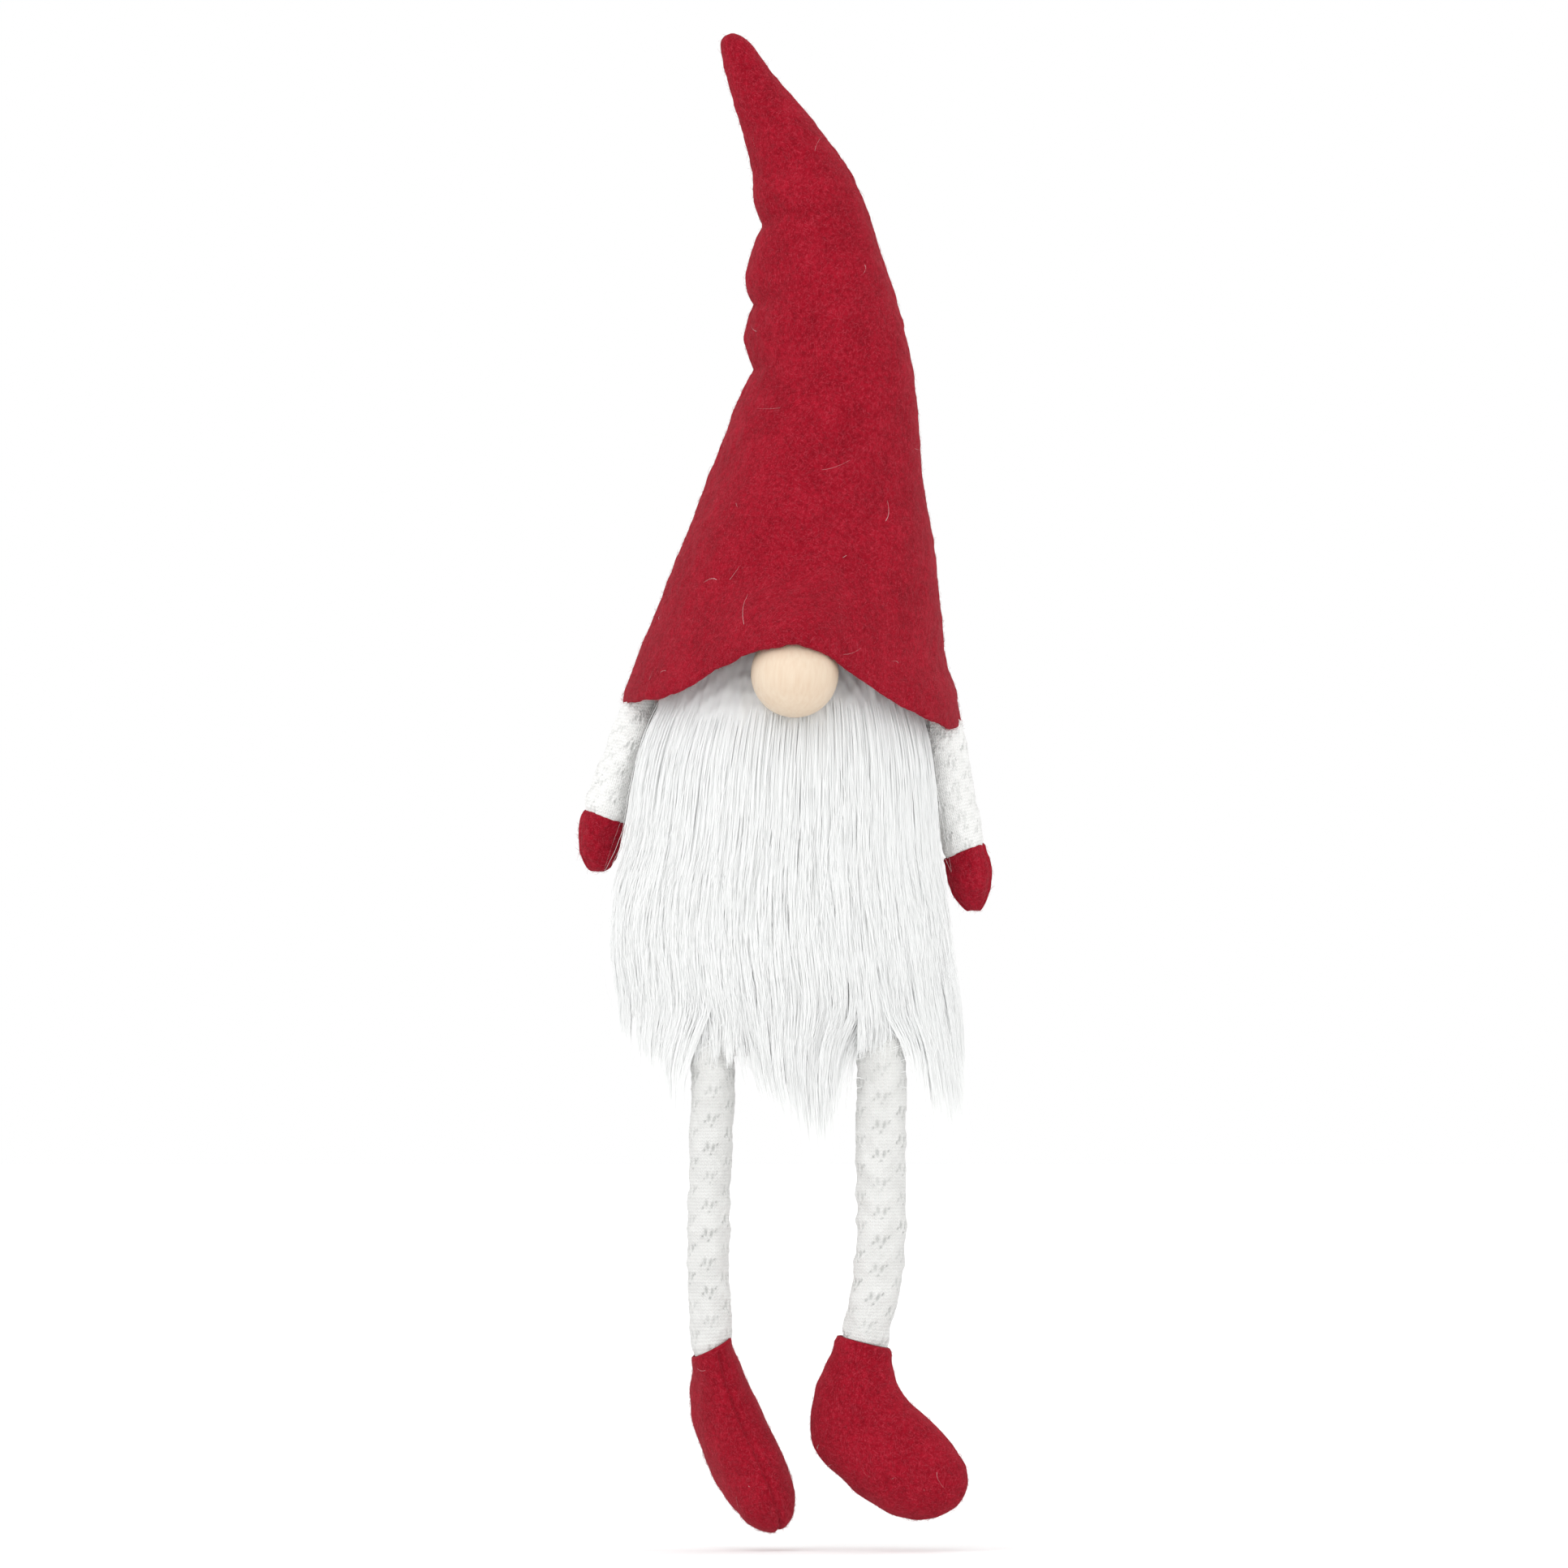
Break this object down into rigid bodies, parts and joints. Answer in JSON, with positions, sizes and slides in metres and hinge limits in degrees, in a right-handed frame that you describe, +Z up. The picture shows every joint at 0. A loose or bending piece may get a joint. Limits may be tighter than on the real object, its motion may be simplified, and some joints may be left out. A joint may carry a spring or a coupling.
{
  "type": "tomte gnome figurine",
  "caption": "Soft sitting gnome with a tall leaning felt hat, a round wooden nose, a long white beard, and dangling knit arms and legs with felt mittens and shoes.",
  "frame": {"origin": "middle of the flat seat under the body, where the gnome rests on a shelf edge", "axes": "+Z up towards the hat, -Y the way the gnome faces, +X towards the gnome's left side"},
  "size_m": [0.1394, 0.1141, 0.5126],
  "materials": {
    "red_felt": "brushed crimson felt",
    "white_knit": "white lace knit",
    "beard_fur": "long straight white faux fur",
    "fur_backing": "plain woven backing",
    "poly_fill": "loose polyester fibre fill",
    "nose_wood": "smooth pale wood",
    "seat_card": "plain grey-brown card",
    "pellet_plastic": "small plastic pellets",
    "hat_wire": "soft bending wire"
  },
  "bodies": {
    "torso": {"body_front_panel": "white_knit", "body_back_panel": "white_knit", "seat_disc": "white_knit", "seat_card": "seat_card", "pellet_bag_top": "white_knit", "pellet_bag_bottom": "white_knit", "pellets": "pellet_plastic", "body_stuffing": "poly_fill", "beard_backing": "fur_backing", "beard_pile": "beard_fur", "beard_lock_right": "beard_fur", "beard_lock_middle": "beard_fur", "beard_lock_left": "beard_fur", "nose_ball": "nose_wood", "hat_front_panel": "red_felt", "hat_back_panel": "red_felt", "hat_stuffing": "poly_fill", "hat_wire": "hat_wire"},
    "hat_fold_1": {"hat_fold_1_front_panel": "red_felt", "hat_fold_1_back_panel": "red_felt", "hat_fold_1_stuffing": "poly_fill", "hat_fold_1_wire": "hat_wire"},
    "hat_fold_2": {"hat_fold_2_front_panel": "red_felt", "hat_fold_2_back_panel": "red_felt", "hat_fold_2_stuffing": "poly_fill", "hat_fold_2_wire": "hat_wire"},
    "hat_tip": {"hat_tip_front_panel": "red_felt", "hat_tip_back_panel": "red_felt", "hat_tip_stuffing": "poly_fill", "hat_tip_wire": "hat_wire"},
    "arm_right": {"sleeve_right": "white_knit", "sleeve_stuffing_right": "poly_fill", "mitten_front_right": "red_felt", "mitten_back_right": "red_felt", "mitten_stuffing_right": "poly_fill"},
    "thigh_right": {"thigh_right": "white_knit", "thigh_stuffing_right": "poly_fill"},
    "shin_right": {"shin_right": "white_knit", "shin_stuffing_right": "poly_fill"},
    "foot_right": {"shoe_inner_right": "red_felt", "shoe_outer_right": "red_felt", "shoe_stuffing_right": "poly_fill"},
    "arm_left": {"sleeve_left": "white_knit", "sleeve_stuffing_left": "poly_fill", "mitten_front_left": "red_felt", "mitten_back_left": "red_felt", "mitten_stuffing_left": "poly_fill"},
    "thigh_left": {"thigh_left": "white_knit", "thigh_stuffing_left": "poly_fill"},
    "shin_left": {"shin_left": "white_knit", "shin_stuffing_left": "poly_fill"},
    "foot_left": {"shoe_inner_left": "red_felt", "shoe_outer_left": "red_felt", "shoe_stuffing_left": "poly_fill"}
  },
  "joints": [
    {"name": "hat_crease_1", "type": "hinge", "parent": "torso", "child": "hat_fold_1", "pos_m": [0.01287, 0, 0.23491], "axis": [0, 1, 0], "range_deg": [-8, 8]},
    {"name": "hat_crease_2", "type": "hinge", "parent": "hat_fold_1", "child": "hat_fold_2", "pos_m": [0.0117, 0, 0.257], "axis": [0, 1, 0], "range_deg": [-8, 8]},
    {"name": "hat_crease_3", "type": "hinge", "parent": "hat_fold_2", "child": "hat_tip", "pos_m": [0.00848, 0, 0.28397], "axis": [0, 1, 0], "range_deg": [-8, 8]},
    {"name": "shoulder_right", "type": "hinge", "parent": "torso", "child": "arm_right", "pos_m": [-0.05196, -0.004, 0.11225], "axis": [-0.9613, 0.2756, 0], "range_deg": [-10, 75]},
    {"name": "shoulder_left", "type": "hinge", "parent": "torso", "child": "arm_left", "pos_m": [0.05378, -0.004, 0.10325], "axis": [-0.9613, -0.2756, 0], "range_deg": [-10, 75]},
    {"name": "hip_right", "type": "hinge", "parent": "torso", "child": "thigh_right", "pos_m": [-0.028, -0.0385, 0.003], "axis": [-1, 0, 0], "range_deg": [-10, 90]},
    {"name": "knee_right", "type": "hinge", "parent": "thigh_right", "child": "shin_right", "pos_m": [-0.02796, -0.0385, -0.049], "axis": [1, 0, 0], "range_deg": [0, 90]},
    {"name": "ankle_right", "type": "hinge", "parent": "shin_right", "child": "foot_right", "pos_m": [-0.0265, -0.0385, -0.103], "axis": [0.9058, 0.2419, 0.3477], "range_deg": [-12, 18], "stiffness_Nm_per_rad": 0.03, "springref_deg": -2.29},
    {"name": "hip_left", "type": "hinge", "parent": "torso", "child": "thigh_left", "pos_m": [0.03, -0.0385, 0.003], "axis": [-1, 0, 0], "range_deg": [-10, 90]},
    {"name": "knee_left", "type": "hinge", "parent": "thigh_left", "child": "shin_left", "pos_m": [0.0298, -0.0385, -0.049], "axis": [1, 0, 0], "range_deg": [0, 90]},
    {"name": "ankle_left", "type": "hinge", "parent": "shin_left", "child": "foot_left", "pos_m": [0.0245, -0.0385, -0.098], "axis": [0.1736, 0.9848, 0], "range_deg": [-12, 18], "stiffness_Nm_per_rad": 0.03, "springref_deg": -2.29}
  ]
}
